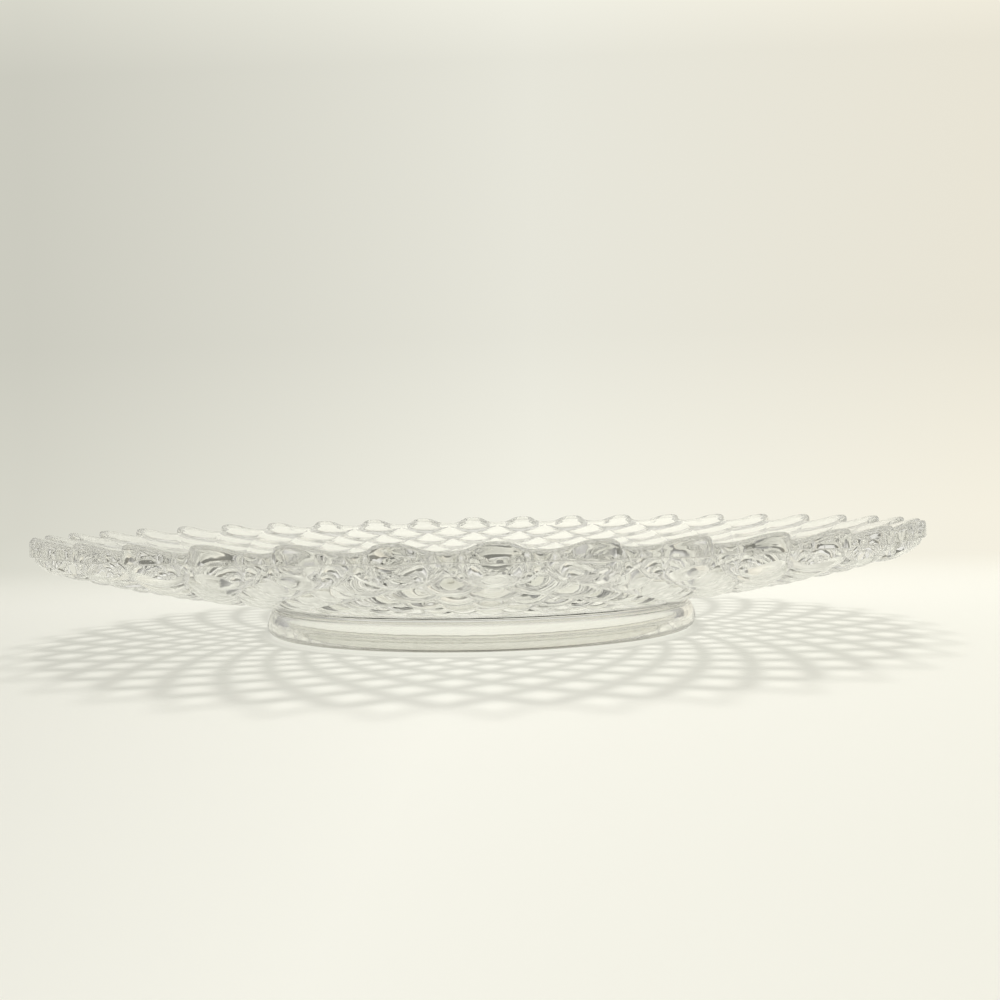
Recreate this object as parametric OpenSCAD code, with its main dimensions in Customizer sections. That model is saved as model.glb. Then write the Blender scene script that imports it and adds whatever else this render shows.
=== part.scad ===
// Pressed-glass relish plate: a shallow spherical dish on a foot ring, with a scalloped rim
// and rings of ball-cut lenses on its underside. Millimetres, +Z up, origin on the table
// under the centre of the plate.

/* [Rim] */
// Diameter over the tips of the scallops
rim_d = 254; // [220:1:290]
// Height of the scallop tips above the table
rim_h = 30.7; // [27:0.1:36]
// Number of scallops round the rim, and of lenses in every row
scallops = 38; // [30:2:44]
// How far the dips between scallops lie inside the tips
scallop_depth = 6.4; // [4:0.1:7]
// Radius of a scallop tip, seen from above
tip_r = 5; // [3:0.1:6]
// Width of the rim band inside the dips
rim_band = 2.6; // [1.5:0.1:5]

/* [Dish] */
// Thickness of the glass between the smooth face and the grooves
wall_t = 3; // [2.2:0.1:4]
// Height of the well's upper face above the table
well_h = 13.4; // [12:0.1:15]
// Thickness of the well's floor
floor_t = 5.5; // [4.5:0.1:6.5]

/* [Lenses] */
// Number of rows of lenses between the foot and the rim
lens_rows = 9; // [7:1:10]
// Height of a rim lens above the grooves
lens_h = 4.3; // [2.5:0.1:4.8]
// Gap between neighbouring lenses of one row, at the rim
lens_gap = 0.3; // [0.1:0.1:1]
// How far the middle of the rim lenses lies inside the dips
lens_inset = 1.8; // [0.5:0.1:2.5]

/* [Foot] */
// Outer diameter of the foot ring
foot_d = 128; // [112:1:140]
// Width of the foot ring, from its outside to the edge of the well
foot_w = 8; // [7:0.1:12]
// How far the neck under the lenses lies inside the foot's outside
neck_step = 2.5; // [1.5:0.1:4]
// Height of the foot's shoulder
foot_h = 6.6; // [5.5:0.1:7]
// How much the foot's outside leans in from its base to its shoulder
foot_draft = 0.4; // [0:0.1:0.8]
// Radius of the foot's lower outer edge
foot_edge_r = 1.2; // [0.5:0.1:2]
// Width of the ground land that the plate stands on
land_w = 3; // [1.5:0.1:3.5]

/* [Hidden] */
$fn = 72;
dish_fn = 256;
rim_r = rim_d / 2;
foot_r = foot_d / 2;
well_r = foot_r - foot_w;
neck_r = foot_r - neck_step;
dip_r = rim_r - scallop_depth;
band_r = dip_r - rim_band;
half_pitch = 180 / scallops;

// The smooth upper face is a sphere on the axis through the well's edge and the scallop tips
dish_z = (rim_r^2 - well_r^2 + rim_h^2 - well_h^2) / (2 * (rim_h - well_h));
dish_r = norm([well_r, dish_z - well_h]);
groove_r = dish_r + wall_t;

// Tangent arcs draw the scallops: tips of tip_r and dips of dip_arc_r
tip_c = rim_r - tip_r;
dip_arc_r = (tip_c^2 + dip_r^2 - 2 * tip_c * dip_r * cos(half_pitch) - tip_r^2)
    / (2 * (tip_r + tip_c * cos(half_pitch) - dip_r));
dip_c = dip_r + dip_arc_r;
arc_steps = 6;

// Rows of lenses shrink in proportion from the dips of the rim to the neck of the foot
neck_gap = 0.2;
first_row_r = dip_r - lens_inset;
last_row_r = (neck_r + neck_gap) / (1 - sin(half_pitch));
row_ratio = (last_row_r / first_row_r) ^ (1 / (lens_rows - 1));

// How far cutting tools reach past what they cut
past = 1;

glass = [0.93, 0.96, 0.94, 0.6];

function on_circle(centre, r, angle) = centre + r * [cos(angle), sin(angle)];
function arc(centre, r, from, to) =
    [for (step = [0:arc_steps]) on_circle(centre, r, from + (to - from) * step / arc_steps)];

// Half-turn of each scallop arc, from its middle to where the arcs meet
meet_angle = let (to_dip = on_circle([0, 0], dip_c, half_pitch) - [tip_c, 0]) atan2(to_dip.y, to_dip.x);

// One scallop from dip to dip, turned about the axis by the given angle
function scallop(angle) =
    let (
        tip = arc(on_circle([0, 0], tip_c, angle), tip_r, angle - meet_angle, angle + meet_angle),
        dip_turn = angle + half_pitch,
        dip = arc(on_circle([0, 0], dip_c, dip_turn), dip_arc_r,
            angle + meet_angle + 180, 2 * dip_turn - angle - meet_angle + 180)
    )
    concat(tip, [for (step = [1:arc_steps - 1]) dip[step]]);

// Outline of the plate from above, over the scallops from the first to the last
function outline(first, last) =
    [for (turn = [first:last], point = scallop(2 * half_pitch * turn)) point];

function row_scale(row) = row_ratio ^ (row - 1);
function row_lean(row) = asin(first_row_r * row_scale(row) / groove_r);

// A lens is a cap on the groove face, given by the angle that its round base takes up there
function lens_angle(row) =
    asin(sin(row_lean(row)) * sin(half_pitch)) - lens_gap / 2 * row_scale(row) / groove_r * 180 / PI;
function lens_outer_r(row) = groove_r * sin(row_lean(row) + lens_angle(row));
function lens_rise(row) = lens_h * row_scale(row);
function lens_ball_r(row) =
    let (
        base_r = groove_r * sin(lens_angle(row)),
        cap_h = groove_r * (1 - cos(lens_angle(row))) + lens_rise(row)
    )
    (base_r^2 + cap_h^2) / (2 * cap_h);

// Everything inside the groove face, which is the seat of the lenses and of the foot
module groove_ball() {
    translate([0, 0, dish_z]) sphere(r = groove_r, $fn = dish_fn);
}

// The spherical glass shell of the dish between two radii
module dish_shell(inner_r, outer_r) {
    difference() {
        intersection() {
            groove_ball();
            cylinder(r = outer_r, h = rim_h + past, $fn = dish_fn);
        }
        translate([0, 0, dish_z]) sphere(r = dish_r, $fn = dish_fn);
        translate([0, 0, -past]) cylinder(r = inner_r, h = rim_h + 3 * past, $fn = dish_fn);
    }
}

module well_floor() {
    color(glass)
        translate([0, 0, well_h - floor_t]) cylinder(r = well_r, h = floor_t);
}

module flared_wall() {
    color(glass) dish_shell(well_r, band_r);
}

module scalloped_rim() {
    color(glass)
        intersection() {
            dish_shell(band_r, rim_r + past);
            linear_extrude(rim_h + past) polygon(outline(0, scallops - 1));
        }
}

// A ring with a ground land, a rounded lower edge and a rounded shoulder under the lenses
module foot_ring() {
    shoulder_r = foot_r - foot_draft - neck_r;
    land_out = foot_r - foot_edge_r;
    profile = concat(
        [[land_out - land_w, 0]],
        arc([land_out, foot_edge_r], foot_edge_r, -90, 0),
        arc([neck_r, foot_h - shoulder_r], shoulder_r, 0, 90),
        [[neck_r, well_h], [well_r, well_h], [well_r, well_h - floor_t]]
    );
    color(glass)
        difference() {
            rotate_extrude() polygon(profile);
            groove_ball();
        }
}

// The ball that cuts one lens into the mould, square to the groove face
module lens_ball(row, turn) {
    depth = lens_ball_r(row) - lens_rise(row);
    rotate(turn)
        translate([0, 0, dish_z]) rotate([0, -row_lean(row), 0])
            translate([0, 0, depth - groove_r]) sphere(r = lens_ball_r(row));
}

// The plate's outline round one lens, with a scallop to spare on each side
module outline_near_lens() {
    linear_extrude(rim_h) polygon(concat([[0, 0]], outline(-1, 1)));
}

// A lens meets the groove face below it and the lenses of the two rows outside it
module lens(row) {
    turn = (row - 1) % 2 * half_pitch;
    difference() {
        if (lens_outer_r(row) > dip_r)
            intersection() {
                lens_ball(row, turn);
                outline_near_lens();
            }
        else
            lens_ball(row, turn);
        groove_ball();
        if (row > 1)
            for (side = [-1, 1]) lens_ball(row - 1, turn + side * half_pitch);
        if (row > 2)
            lens_ball(row - 2, turn);
    }
}

module lens_row(row) {
    color(glass)
        for (turn = [0:scallops - 1]) rotate(2 * half_pitch * turn) lens(row);
}

well_floor();
flared_wall();
scalloped_rim();
foot_ring();
for (row = [1:lens_rows]) lens_row(row);
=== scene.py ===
import math

import bmesh
import bpy
from mathutils import Matrix, Vector


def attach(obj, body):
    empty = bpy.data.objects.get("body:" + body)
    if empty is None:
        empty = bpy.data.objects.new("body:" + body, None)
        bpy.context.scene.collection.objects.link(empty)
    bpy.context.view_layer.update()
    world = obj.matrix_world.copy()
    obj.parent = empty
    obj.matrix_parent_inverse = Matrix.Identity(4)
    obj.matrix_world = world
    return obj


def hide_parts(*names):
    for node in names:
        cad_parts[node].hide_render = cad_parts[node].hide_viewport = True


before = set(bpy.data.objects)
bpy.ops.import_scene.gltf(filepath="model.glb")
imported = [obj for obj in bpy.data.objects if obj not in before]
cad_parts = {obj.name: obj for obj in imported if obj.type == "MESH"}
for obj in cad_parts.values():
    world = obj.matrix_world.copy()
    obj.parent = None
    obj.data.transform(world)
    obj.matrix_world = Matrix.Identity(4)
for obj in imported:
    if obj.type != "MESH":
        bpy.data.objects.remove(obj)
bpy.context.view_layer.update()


# The plate: one pressing of clear soda-lime glass. A smooth plunger shaped the dish, a mould with
# ball-cut hollows left the rings of lenses on the underside, the scalloped edge was fire-polished and
# the land of the foot was ground flat. Nothing is fixed to it.
rim_r = 0.127
rim_h = 0.0307
scallops = 38
dip_r = 0.1206
tip_r = 0.005
lip_r = 0.113
upper_round = 0.0019
lower_round = 0.0004
ledge_h = 0.0256
ledge_w = 0.0015
ledge_step = 0.00025
ledge_rise = 0.0001
well_r = 0.056
well_h = 0.0134
under_h = 0.0079
wall_t = 0.003
first_row_r = 0.1188
last_row_r = 0.06725
lens_rows = 9
lens_h = 0.0043

half_pitch = math.pi / scallops
dish_z = (rim_r**2 - well_r**2 + rim_h**2 - well_h**2) / (2 * (rim_h - well_h))
dish_r = math.hypot(well_r, dish_z - well_h)
groove_r = dish_r + wall_t
row_ratio = (last_row_r / first_row_r) ** (1 / (lens_rows - 1))

# A lens in shares of its row's radius: half its width, its height, and the ball that cut it
lens_half = math.sin(half_pitch)
lens_rise = lens_h / first_row_r
lens_ball = (lens_half**2 + lens_rise**2) / (2 * lens_rise)

# Steps of the mesh across half a lens and down a row: as many both ways, so that the creases
# between lenses run from corner to corner of its squares
fine = 9
turns = 2 * scallops * fine

# The scallops are tangent arcs, with the middles of the tips' arcs at tip_c from the axis and those of
# the dips' arcs at dip_c
tip_c = rim_r - tip_r
dip_arc_r = (tip_c**2 + dip_r**2 - 2 * tip_c * dip_r * math.cos(half_pitch) - tip_r**2) / (
    2 * (tip_r + tip_c * math.cos(half_pitch) - dip_r)
)
dip_c = dip_r + dip_arc_r


def outline(turn):
    """How far out the scalloped edge lies in this direction."""
    off = abs((turn + half_pitch) % (2 * half_pitch) - half_pitch)
    meet = Vector((tip_c, 0)).lerp(
        Vector((dip_c * math.cos(half_pitch), dip_c * math.sin(half_pitch))), tip_r / (tip_r + dip_arc_r)
    )
    if off < math.atan2(meet.y, meet.x):
        return tip_c * math.cos(off) + math.sqrt(max(tip_r**2 - (tip_c * math.sin(off)) ** 2, 0))
    back = half_pitch - off
    return dip_c * math.cos(back) - math.sqrt(max(dip_arc_r**2 - (dip_c * math.sin(back)) ** 2, 0))


def lens(across, row):
    """Height of the nearest lens there as a share of the radius, and how far towards its crease it is."""
    nearest, crease = 2.0, 1.0
    first_row, first_place = math.floor(row + 1e-9), math.floor(across + 1e-9)
    for r in (first_row, first_row + 1):
        for a in (first_place, first_place + 1):
            if (a + r) % 2 == 0 and 0 <= r < lens_rows:
                gap = math.hypot(across - a, row - r)
                if gap < nearest:
                    nearest, crease = gap, abs(across - a) + abs(row - r)
    if nearest >= 1:
        return 0.0, crease
    return math.sqrt(lens_ball**2 - (lens_half * nearest) ** 2) - (lens_ball - lens_rise), crease


def dish(r):
    """Height of the smooth upper face."""
    return dish_z - math.sqrt(dish_r**2 - r * r)


def groove(r):
    """Height of the groove face, on which the lenses and the foot sit."""
    return dish_z - math.sqrt(groove_r**2 - r * r)


def underside(turn, row):
    """Radius and height of a point of the lensed underside, and how far towards a crease it is."""
    r = first_row_r * row_ratio**row
    rise, crease = lens(turn / half_pitch, row)
    stretch = 1 + rise * r / groove_r
    return r * stretch, dish_z - math.sqrt(groove_r**2 - r * r) * stretch, crease


def row_at(turn, r):
    """The row number at which the underside reaches this radius."""
    row = math.log(r / first_row_r) / math.log(row_ratio)
    for _ in range(4):
        row += math.log(r / underside(turn, row)[0]) / math.log(row_ratio)
    return row


def oval(centre, across, up, start, end, steps):
    """Points along a piece of an oval, from one angle to another."""
    return [
        (centre[0] + across * math.cos(a), centre[1] + up * math.sin(a))
        for a in (math.radians(start + (end - start) * s / steps) for s in range(steps + 1))
    ]


# The smooth upper face: the flat well, a soft turn at its edge, and the dish
upper_face = [(r, well_h) for r in (0.0, 0.024, 0.046, 0.0525)]
upper_face += [(0.0545, well_h + 0.00003)]
upper_face += [(r, dish(r) + lift) for r, lift in ((0.0565, 0.00016), (0.0588, 0.00004))]
upper_face += [(r, dish(r)) for r in (0.062, 0.07, 0.08, 0.09, 0.1, 0.108, lip_r)]

# The foot: a neck and a fold under the lenses, a round shoulder, the sliding edge, the ground land,
# and the hollow inside the ring up to the underside of the well
foot_r = 0.064
neck_top_r = 0.0619
neck_r = 0.0615
neck_h = 0.0102
fold_h = 0.008
fold_w = 0.0009
fold_drop = 0.0011
shoulder_r = 0.0616
shoulder_rise = 0.0044
belly_h = 0.0024
land_out_r = 0.0622
land_in_r = 0.0606
land_round = 0.0012
hollow_r = 0.0525
hollow_w = 0.0062
hollow_h = 0.0022
foot = [(neck_top_r, groove(neck_top_r)), (neck_r, neck_h), (neck_r, fold_h)]
foot += oval((neck_r + fold_w, fold_h), fold_w, fold_drop, 180, 270, 3)[1:]
foot += oval((shoulder_r, belly_h), foot_r - shoulder_r, shoulder_rise, 80, 0, 8)
foot += oval((land_out_r, belly_h), foot_r - land_out_r, belly_h, 0, -90, 7)[1:]
foot += oval((land_in_r, land_round), land_round, land_round, 270, 200, 3)
foot += oval((hollow_r, hollow_h), hollow_w, under_h - hollow_h, 25, 90, 6)
foot += [(0.03, under_h), (0.0, under_h)]

# How much lamplight the smooth glass, the thick edges and the lenses let through
smooth_light = 0.97
edge_light = 0.8
lens_light = 1.15
thick_from_r = 0.0555

# Rings of the section from the middle of the well, over the edge and along the underside, to the
# middle again: each has a name for its zone, a place in it, and the lamplight it lets through
rings = [("plain", point, smooth_light) for point in upper_face]
rings += [("inner_lip", s / 5, smooth_light) for s in range(1, 6)]
rings += [("upper_edge", s / 6, edge_light) for s in range(1, 7)]
rings += [("lower_edge", s / 3, edge_light) for s in range(4)]
rings += [("ledge", s, edge_light) for s in (1, 2)]
rings += [("ledge_end", 0, edge_light)]
edge_ring = len(rings) - 1
rings += [("rim_lens", 1 - s / fine, lens_light) for s in range(1, fine)]
rings += [("lens", 1 + s / fine, lens_light) for s in range((lens_rows - 1) * fine + 1)]
last_lens = len(rings) - 1
rings += [("plain", point, edge_light if point[0] > thick_from_r else smooth_light) for point in foot]

# A rough section is spun round, and every point of it is then put in its place
plate_mesh = bmesh.new()
ring_of = plate_mesh.verts.layers.int.new("ring")
through = plate_mesh.verts.layers.float.new("lamplight_through")
near_crease = plate_mesh.verts.layers.float.new("near_crease")
painted_shade_at = plate_mesh.verts.layers.float.new("painted_shade")
section = []
for i in range(len(rings)):
    v = plate_mesh.verts.new((0.001 * min(i, len(rings) - 1 - i), 0, 0.001 * i))
    v[ring_of] = i
    section.append(v)
joins = [plate_mesh.edges.new(pair) for pair in zip(section, section[1:])]
bmesh.ops.spin(
    plate_mesh, geom=section + joins, cent=(0, 0, 0), axis=(0, 0, 1), dvec=(0, 0, 0),
    angle=2 * math.pi, steps=turns, use_merge=True, use_duplicate=False,
)
bmesh.ops.remove_doubles(plate_mesh, verts=plate_mesh.verts, dist=1e-7)


def bend(a, b, c, s):
    """A point along a rounded corner from a round b to c."""
    return tuple((1 - s) ** 2 * p + 2 * s * (1 - s) * q + s * s * r for p, q, r in zip(a, b, c))


def shaped(zone, place, off):
    """Radius, height and nearness to a crease, this many steps away from the middle of a scallop."""
    turn = off * half_pitch / fine
    out = outline(turn)
    if zone == "inner_lip":
        r = lip_r + (out - upper_round - lip_r) * place
        return r, dish(r), 0.0
    if zone == "upper_edge":
        top = dish(out)
        inside = out - upper_round
        return *bend((inside, dish(inside)), (out, top), (out, top - upper_round), place), 0.0
    if zone == "lower_edge":
        under = (out - lower_round, ledge_h)
        return *bend((out, ledge_h + lower_round), (out, ledge_h), under, place), 0.0
    # Inside the band's level lower edge runs a small ledge, from which the rim lens drops away
    if zone == "ledge":
        return out - lower_round - ledge_step * place, ledge_h + ledge_rise * place, 0.0
    edge_row = row_at(turn, out - ledge_w)
    if zone == "ledge_end":
        return *underside(turn, edge_row)[:2], 0.0
    row = place
    if zone == "rim_lens":
        # The crease of the rim lens climbs from the row below at its middle to the edge at the dip
        share = off / fine
        row = 1 - place
        if place > share:
            row = 1 - share + (place - share) / (1 - share) * (edge_row - 1 + share)
    return underside(turn, row)


# Lamplight fades towards the creases, from this nearness on
dim_from = 0.3
dim_over = 0.6
most_dim = 0.72

# Painted shade in the glass's colour: the foot's sliding edge is darker where it meets the paper, the
# fold above it has a dark line, and the thick rim band is greyer as a painted reflection of dark
# surroundings
shade_from_r = 0.0585
shade_below = 0.0086
base_shade_top = 0.00119
base_shade_fade = 0.0007
fold_shade_h = 0.0072
fold_shade_w = 0.0009
most_fold_shade = 0.8
band_painted_dark = 0.3

# Every scallop is alike, so each ring is worked out only for the steps of half a scallop
step_of = plate_mesh.verts.layers.int.new("step")
known = {}
for v in plate_mesh.verts:
    ring = v[ring_of]
    zone, place, light = rings[ring]
    step = round(math.atan2(v.co.y, v.co.x) / (2 * math.pi) * turns) % turns
    v[step_of] = step
    off = min(step % (2 * fine), -step % (2 * fine))
    if (ring, off) not in known:
        known[ring, off] = (*place, 0.0) if zone == "plain" else shaped(zone, place, off)
    r, z, crease = known[ring, off]
    turn = step * 2 * math.pi / turns
    v.co = (r * math.cos(turn), r * math.sin(turn), z)
    v[through] = light * (1 - most_dim * min(max((crease - dim_from) / dim_over, 0), 1))
    v[near_crease] = crease
    if zone == "plain" and r > shade_from_r and z < shade_below:
        # Painted shade along the foot's bottom edge, where it meets the paper
        base_shade = min(max((base_shade_top - z) / base_shade_fade, 0), 1)
        # Painted shade at the foot's edge, plus painted shade in a thin line along the fold above the
        # foot
        v[painted_shade_at] = base_shade + most_fold_shade * max(1 - abs(z - fold_shade_h) / fold_shade_w, 0)
    # Painted dark reflection: the thick rim band's glass is made greyer
    if zone in ("upper_edge", "lower_edge"):
        v[painted_shade_at] = band_painted_dark

# The creases between lenses cross the squares of the mesh from corner to corner
creased = []
for face in [f for f in plate_mesh.faces if len(f.verts) == 4]:
    low = min(v[ring_of] for v in face.verts)
    if not edge_ring <= low < last_lens - fine:
        continue
    steps = [v[step_of] for v in face.verts]
    first = min(steps) if max(steps) - min(steps) == 1 else turns - 1
    (column, right), (row, down) = divmod(first, fine), divmod(low - edge_ring, fine)
    rising = (column + row) % 2 == 1
    if (right == down) if rising else (right + down == fine - 1):
        want = (first, low) if rising else ((first + 1) % turns, low)
        start = next(v for v in face.verts if (v[step_of], v[ring_of]) == want)
        far = face.verts[(list(face.verts).index(start) + 2) % 4]
        creased.append((face, start, far))
for face, start, far in creased:
    loop = bmesh.utils.face_split(face, start, far)[1]
    loop.edge.smooth = False
# The ledge under the rim band and the upper border of the rim lenses are crisp too
for edge in plate_mesh.edges:
    upper, lower = (v[ring_of] for v in edge.verts)
    if upper == lower and upper in (edge_ring - 1, edge_ring):
        edge.smooth = False
for face in plate_mesh.faces:
    face.smooth = True
# Glass bends light the right way only where its faces point outwards
bmesh.ops.recalc_face_normals(plate_mesh, faces=plate_mesh.faces)
if plate_mesh.calc_volume(signed=True) < 0:
    bmesh.ops.reverse_faces(plate_mesh, faces=plate_mesh.faces)
plate_data = bpy.data.meshes.new("pressed_plate")
plate_mesh.to_mesh(plate_data)
plate_mesh.free()
plate = bpy.data.objects.new("pressed_plate", plate_data)
bpy.context.scene.collection.objects.link(plate)

clear_tint = (0.985, 0.985, 0.962, 1)
# The grey of the painted shade and painted dark reflection that is mixed into the glass's colour
shade_grey = (0.34, 0.33, 0.28, 1)
glass = bpy.data.materials.new("clear_pressed_glass")
glass.use_nodes = True
nodes, links = glass.node_tree.nodes, glass.node_tree.links
body = nodes["Principled BSDF"]
# The mask darkens the glass's colour toward that grey: painted shade at the foot's edge and fold, and a
# painted dark reflection on the rim band
painted_shade = nodes.new("ShaderNodeAttribute")
painted_shade.attribute_name = "painted_shade"
tint = nodes.new("ShaderNodeMix")
tint.data_type = "RGBA"
tint.inputs["A"].default_value = clear_tint
tint.inputs["B"].default_value = shade_grey
links.new(painted_shade.outputs["Fac"], tint.inputs["Factor"])
links.new(tint.outputs["Result"], body.inputs["Base Color"])
body.inputs["Transmission Weight"].default_value = 1.0
body.inputs["IOR"].default_value = 1.5
# The fire polish is a little less even in some places than in others
on_plate = nodes.new("ShaderNodeTexCoord")
polish = nodes.new("ShaderNodeTexNoise")
polish.inputs["Scale"].default_value = 60
polish.inputs["Detail"].default_value = 2
links.new(on_plate.outputs["Object"], polish.inputs["Vector"])
gloss = nodes.new("ShaderNodeMapRange")
gloss.inputs["To Min"].default_value = 0.0
gloss.inputs["To Max"].default_value = 0.012
links.new(polish.outputs["Fac"], gloss.inputs["Value"])
links.new(gloss.outputs["Result"], body.inputs["Roughness"])
# Faint waves that the hot glass keeps from the mould
waves = nodes.new("ShaderNodeTexNoise")
waves.inputs["Scale"].default_value = 180
waves.inputs["Detail"].default_value = 1
links.new(on_plate.outputs["Object"], waves.inputs["Vector"])
ripple = nodes.new("ShaderNodeBump")
ripple.inputs["Strength"].default_value = 0.05
ripple.inputs["Distance"].default_value = 0.001
links.new(waves.outputs["Fac"], ripple.inputs["Height"])
# The mould's edges were worn, so the creases between lenses are a little rounded
nearness = nodes.new("ShaderNodeAttribute")
nearness.attribute_name = "near_crease"
crease_line = nodes.new("ShaderNodeMapRange")
crease_line.interpolation_type = "SMOOTHSTEP"
crease_line.inputs["From Min"].default_value = 0.9
crease_line.inputs["From Max"].default_value = 1.0
links.new(nearness.outputs["Fac"], crease_line.inputs["Value"])
rounded = nodes.new("ShaderNodeBump")
rounded.inputs["Strength"].default_value = 1.0
rounded.inputs["Distance"].default_value = 0.0004
links.new(crease_line.outputs["Result"], rounded.inputs["Height"])
links.new(ripple.outputs["Normal"], rounded.inputs["Normal"])
links.new(rounded.outputs["Normal"], body.inputs["Normal"])
# Lamps see the plate as a sheet, clear at the middle of each lens and dim along the creases.
# Matt surfaces see it as an even clear sheet.
for_lamps = nodes.new("ShaderNodeBsdfTransparent")
let_through = nodes.new("ShaderNodeAttribute")
let_through.attribute_name = "lamplight_through"
links.new(let_through.outputs["Fac"], for_lamps.inputs["Color"])
for_matt = nodes.new("ShaderNodeBsdfTransparent")
for_matt.inputs["Color"].default_value = (0.97, 0.975, 0.97, 1)
rays = nodes.new("ShaderNodeLightPath")
lamp_side = nodes.new("ShaderNodeMixShader")
links.new(rays.outputs["Is Shadow Ray"], lamp_side.inputs["Fac"])
links.new(body.outputs["BSDF"], lamp_side.inputs[1])
links.new(for_lamps.outputs["BSDF"], lamp_side.inputs[2])
matt_side = nodes.new("ShaderNodeMixShader")
links.new(rays.outputs["Is Diffuse Ray"], matt_side.inputs["Fac"])
links.new(lamp_side.outputs["Shader"], matt_side.inputs[1])
links.new(for_matt.outputs["BSDF"], matt_side.inputs[2])
links.new(matt_side.outputs["Shader"], nodes["Material Output"].inputs["Surface"])
plate_data.materials.append(glass)

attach(plate, "root")
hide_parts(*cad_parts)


# The sweep: a pale matt paper that lies under the plate and rises in one curve behind it.
# It lies a hair under the foot's land, so that the two faces don't fall into one.
# It is only the setting, not a part of the object.
sweep_w = 2.4
sweep_h = 3.0
floor_z = -0.0001
front_y = -0.34
bend_r = 0.7
bend_steps = 24
wall_y = 1.9
bend_y = wall_y - bend_r
left_x = -sweep_w / 2
line = [(front_y, floor_z), (bend_y, floor_z)]
line += [
    (bend_y + bend_r * math.sin(a), bend_r - bend_r * math.cos(a))
    for a in (math.radians(90 * s / bend_steps) for s in range(1, bend_steps + 1))
]
line.append((wall_y, sweep_h))
sweep_mesh = bmesh.new()
run = [sweep_mesh.verts.new((left_x, y, z)) for y, z in line]
joins = [sweep_mesh.edges.new(pair) for pair in zip(run, run[1:])]
swept = bmesh.ops.extrude_edge_only(sweep_mesh, edges=joins)["geom"]
bmesh.ops.translate(
    sweep_mesh, verts=[g for g in swept if isinstance(g, bmesh.types.BMVert)], vec=(sweep_w, 0, 0)
)
for face in sweep_mesh.faces:
    face.smooth = True
bmesh.ops.recalc_face_normals(sweep_mesh, faces=sweep_mesh.faces)
if sweep_mesh.faces[0].normal.z < 0:
    bmesh.ops.reverse_faces(sweep_mesh, faces=sweep_mesh.faces)
sweep_data = bpy.data.meshes.new("paper_sweep")
sweep_mesh.to_mesh(sweep_data)
sweep_mesh.free()
sweep = bpy.data.objects.new("paper_sweep", sweep_data)
bpy.context.scene.collection.objects.link(sweep)

# Tones of the paper and of its glow, on the left, in the middle and on the right. The paper's own colour
# is darker on the left and a little on the right: painted shade, as if less light fell there
painted_shade_left = (0.69, 0.692, 0.645, 1)
paper_middle = (0.92, 0.92, 0.865, 1)
painted_shade_right = (0.885, 0.88, 0.81, 1)
glow_left = (0.63, 0.625, 0.55, 1)
glow_middle = (0.83, 0.82, 0.73, 1)
glow_right = (0.85, 0.81, 0.69, 1)
paper = bpy.data.materials.new("pale_paper")
paper.use_nodes = True
paper_nodes, paper_links = paper.node_tree.nodes, paper.node_tree.links
matt = paper_nodes["Principled BSDF"]
matt.inputs["Roughness"].default_value = 0.9
matt.inputs["Specular IOR Level"].default_value = 0.1
# The tones change in a fan that opens backwards from a point in front of the plate
where = paper_nodes.new("ShaderNodeTexCoord")
apart = paper_nodes.new("ShaderNodeSeparateXYZ")
paper_links.new(where.outputs["Object"], apart.inputs["Vector"])
reach = paper_nodes.new("ShaderNodeMath")
reach.operation = "ADD"
reach.inputs[1].default_value = 0.5
paper_links.new(apart.outputs["Y"], reach.inputs[0])
fan = paper_nodes.new("ShaderNodeMath")
fan.operation = "DIVIDE"
paper_links.new(apart.outputs["X"], fan.inputs[0])
paper_links.new(reach.outputs["Value"], fan.inputs[1])
left_to_right = paper_nodes.new("ShaderNodeMapRange")
left_to_right.inputs["From Min"].default_value = -0.42
left_to_right.inputs["From Max"].default_value = 0.42
paper_links.new(fan.outputs["Value"], left_to_right.inputs["Value"])
# Painted shade: the paper's colour is darker to the left and a little darker to the right
paper_tones_painted = paper_nodes.new("ShaderNodeValToRGB")
paper_tones_painted.color_ramp.elements[0].color = painted_shade_left
paper_tones_painted.color_ramp.elements[1].color = painted_shade_right
paper_tones_painted.color_ramp.elements.new(0.5).color = paper_middle
paper_links.new(left_to_right.outputs["Result"], paper_tones_painted.inputs["Fac"])
paper_links.new(paper_tones_painted.outputs["Color"], matt.inputs["Base Color"])
glow_tones = paper_nodes.new("ShaderNodeValToRGB")
glow_tones.color_ramp.elements[0].color = glow_left
glow_tones.color_ramp.elements[1].color = glow_right
glow_tones.color_ramp.elements.new(0.5).color = glow_middle
paper_links.new(left_to_right.outputs["Result"], glow_tones.inputs["Fac"])
# From the plate's middle backwards the paper fades to its own glow, to the eye and in the glass.
# The glow is dimmer on the left, and dim above about 1.3 m.
glow = paper_nodes.new("ShaderNodeEmission")
paper_links.new(glow_tones.outputs["Color"], glow.inputs["Color"])
upward = paper_nodes.new("ShaderNodeMapRange")
upward.inputs["From Max"].default_value = 2.0
paper_links.new(apart.outputs["Z"], upward.inputs["Value"])
bright = paper_nodes.new("ShaderNodeValToRGB")
bright.color_ramp.elements[0].color = (0.92, 0.92, 0.92, 1)
bright.color_ramp.elements[1].color = (0.26, 0.26, 0.26, 1)
lower_greys = ((0.17, 0.82), (0.45, 0.82), (0.58, 1.0), (0.645, 1.0))
upper_greys = ((0.675, 0.78), (0.71, 0.46), (0.8, 0.26))
for spot, grey in lower_greys + upper_greys:
    bright.color_ramp.elements.new(spot).color = (grey, grey, grey, 1)
paper_links.new(upward.outputs["Result"], bright.inputs["Fac"])
level = paper_nodes.new("ShaderNodeMath")
level.operation = "MULTIPLY"
level.inputs[1].default_value = 1.17
paper_links.new(bright.outputs["Color"], level.inputs[0])
paper_links.new(level.outputs["Value"], glow.inputs["Strength"])
behind = paper_nodes.new("ShaderNodeMapRange")
behind.interpolation_type = "SMOOTHSTEP"
behind.inputs["From Min"].default_value = 0.05
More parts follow.
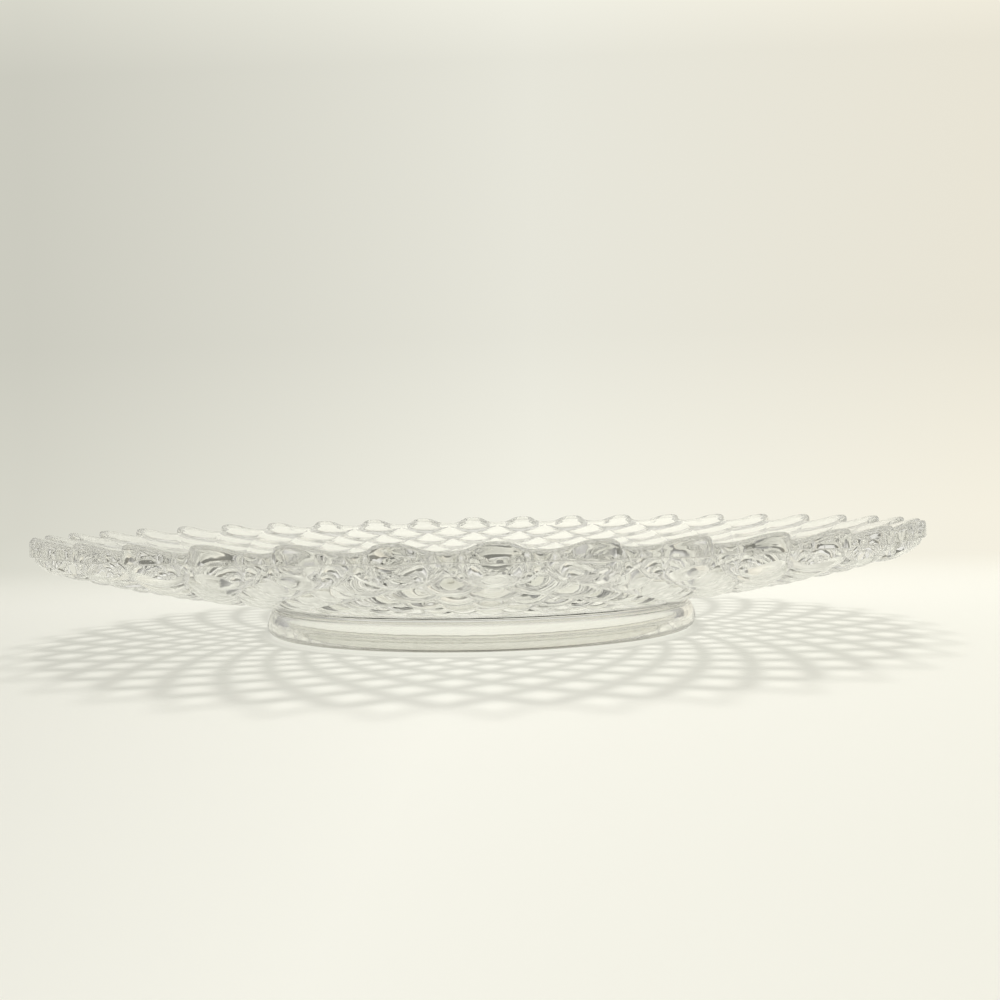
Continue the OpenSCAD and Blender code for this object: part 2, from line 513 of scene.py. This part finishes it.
behind.inputs["From Max"].default_value = 0.35
paper_links.new(apart.outputs["Y"], behind.inputs["Value"])
sight = paper_nodes.new("ShaderNodeLightPath")
seen = paper_nodes.new("ShaderNodeMath")
seen.operation = "MAXIMUM"
paper_links.new(sight.outputs["Is Camera Ray"], seen.inputs[0])
paper_links.new(sight.outputs["Is Glossy Ray"], seen.inputs[1])
seen_too = paper_nodes.new("ShaderNodeMath")
seen_too.operation = "MAXIMUM"
paper_links.new(seen.outputs["Value"], seen_too.inputs[0])
paper_links.new(sight.outputs["Is Transmission Ray"], seen_too.inputs[1])
glow_share = paper_nodes.new("ShaderNodeMath")
glow_share.operation = "MULTIPLY"
paper_links.new(seen_too.outputs["Value"], glow_share.inputs[0])
paper_links.new(behind.outputs["Result"], glow_share.inputs[1])
lit_or_glowing = paper_nodes.new("ShaderNodeMixShader")
paper_links.new(glow_share.outputs["Value"], lit_or_glowing.inputs["Fac"])
paper_links.new(matt.outputs["BSDF"], lit_or_glowing.inputs[1])
paper_links.new(glow.outputs["Emission"], lit_or_glowing.inputs[2])
paper_links.new(lit_or_glowing.outputs["Shader"], paper_nodes["Material Output"].inputs["Surface"])
sweep_data.materials.append(paper)


# The studio: a pale tent, brightest overhead, less bright at the sides and dimmest low in front and
# behind. One soft lamp above and behind the plate throws the lacy shadow forwards, and a small weak
# one in the same place gives the glass its gleam.
tent = bpy.data.worlds.new("tent")
bpy.context.scene.world = tent
tent.use_nodes = True
tent_nodes, tent_links = tent.node_tree.nodes, tent.node_tree.links
way = tent_nodes.new("ShaderNodeTexCoord")
split = tent_nodes.new("ShaderNodeSeparateXYZ")
tent_links.new(way.outputs["Generated"], split.inputs["Vector"])
overhead = tent_nodes.new("ShaderNodeMapRange")
overhead.interpolation_type = "SMOOTHSTEP"
overhead.inputs["From Min"].default_value = 0.45
overhead.inputs["From Max"].default_value = 0.8
overhead.inputs["To Max"].default_value = 0.91
tent_links.new(split.outputs["Z"], overhead.inputs["Value"])
beside = tent_nodes.new("ShaderNodeMath")
beside.operation = "ABSOLUTE"
tent_links.new(split.outputs["X"], beside.inputs[0])
sides = tent_nodes.new("ShaderNodeMapRange")
sides.interpolation_type = "SMOOTHSTEP"
sides.inputs["From Min"].default_value = 0.5
sides.inputs["From Max"].default_value = 0.8
sides.inputs["To Min"].default_value = 0.22
sides.inputs["To Max"].default_value = 0.58
tent_links.new(beside.outputs["Value"], sides.inputs["Value"])
tent_links.new(sides.outputs["Result"], overhead.inputs["To Min"])
tent_nodes["Background"].inputs["Color"].default_value = (1.0, 0.988, 0.94, 1)
tent_links.new(overhead.outputs["Result"], tent_nodes["Background"].inputs["Strength"])

lamp_data = bpy.data.lights.new("soft_lamp", "AREA")
lamp_data.shape = "DISK"
lamp_data.size = 0.22
lamp_data.energy = 7.9
lamp_data.color = (1.0, 0.985, 0.955)
lamp = bpy.data.objects.new("soft_lamp", lamp_data)
lamp_at = Vector((0.0, 0.65, 1.13))
lamp.matrix_world = Matrix.Translation(lamp_at) @ lamp_at.to_track_quat("Z", "Y").to_matrix().to_4x4()
bpy.context.scene.collection.objects.link(lamp)
# The glass doesn't show the soft lamp itself, which would lie in the well as a glaring disc
lamp.visible_glossy = False
lamp.visible_transmission = False
gleam_data = lamp_data.copy()
gleam_data.name = "lamp_gleam"
gleam_data.size = 0.06
gleam_data.energy = 0.35
gleam = bpy.data.objects.new("lamp_gleam", gleam_data)
gleam.matrix_world = lamp.matrix_world
bpy.context.scene.collection.objects.link(gleam)

# Light runs to and fro many times inside the glass. The glossy bounces set how deep its darks are.
scene = bpy.context.scene
scene.view_settings.view_transform = "Standard"
scene.cycles.caustics_reflective = False
scene.cycles.caustics_refractive = False
scene.cycles.max_bounces = 48
scene.cycles.glossy_bounces = 13
scene.cycles.transmission_bounces = 40


# The camera: low in front of the plate and tilted a little, as it was held, with one scallop tip
# straight ahead of it.
eye_turn = math.radians(2.349)
eye_at = (0.00618, -0.345, 0.03905)
eye_pitch = math.radians(90 - 0.24)
eye_tilt = math.radians(-1.203)
eye_data = bpy.data.cameras.new("eye")
eye_data.sensor_width = 36
eye_data.lens = 40.85
eye_data.clip_start = 0.01
eye = bpy.data.objects.new("eye", eye_data)
eye.matrix_world = (
    Matrix.Rotation(eye_turn, 4, "Z")
    @ Matrix.Translation(eye_at)
    @ Matrix.Rotation(eye_pitch, 4, "X")
    @ Matrix.Rotation(eye_tilt, 4, "Z")
)
scene.collection.objects.link(eye)
scene.camera = eye
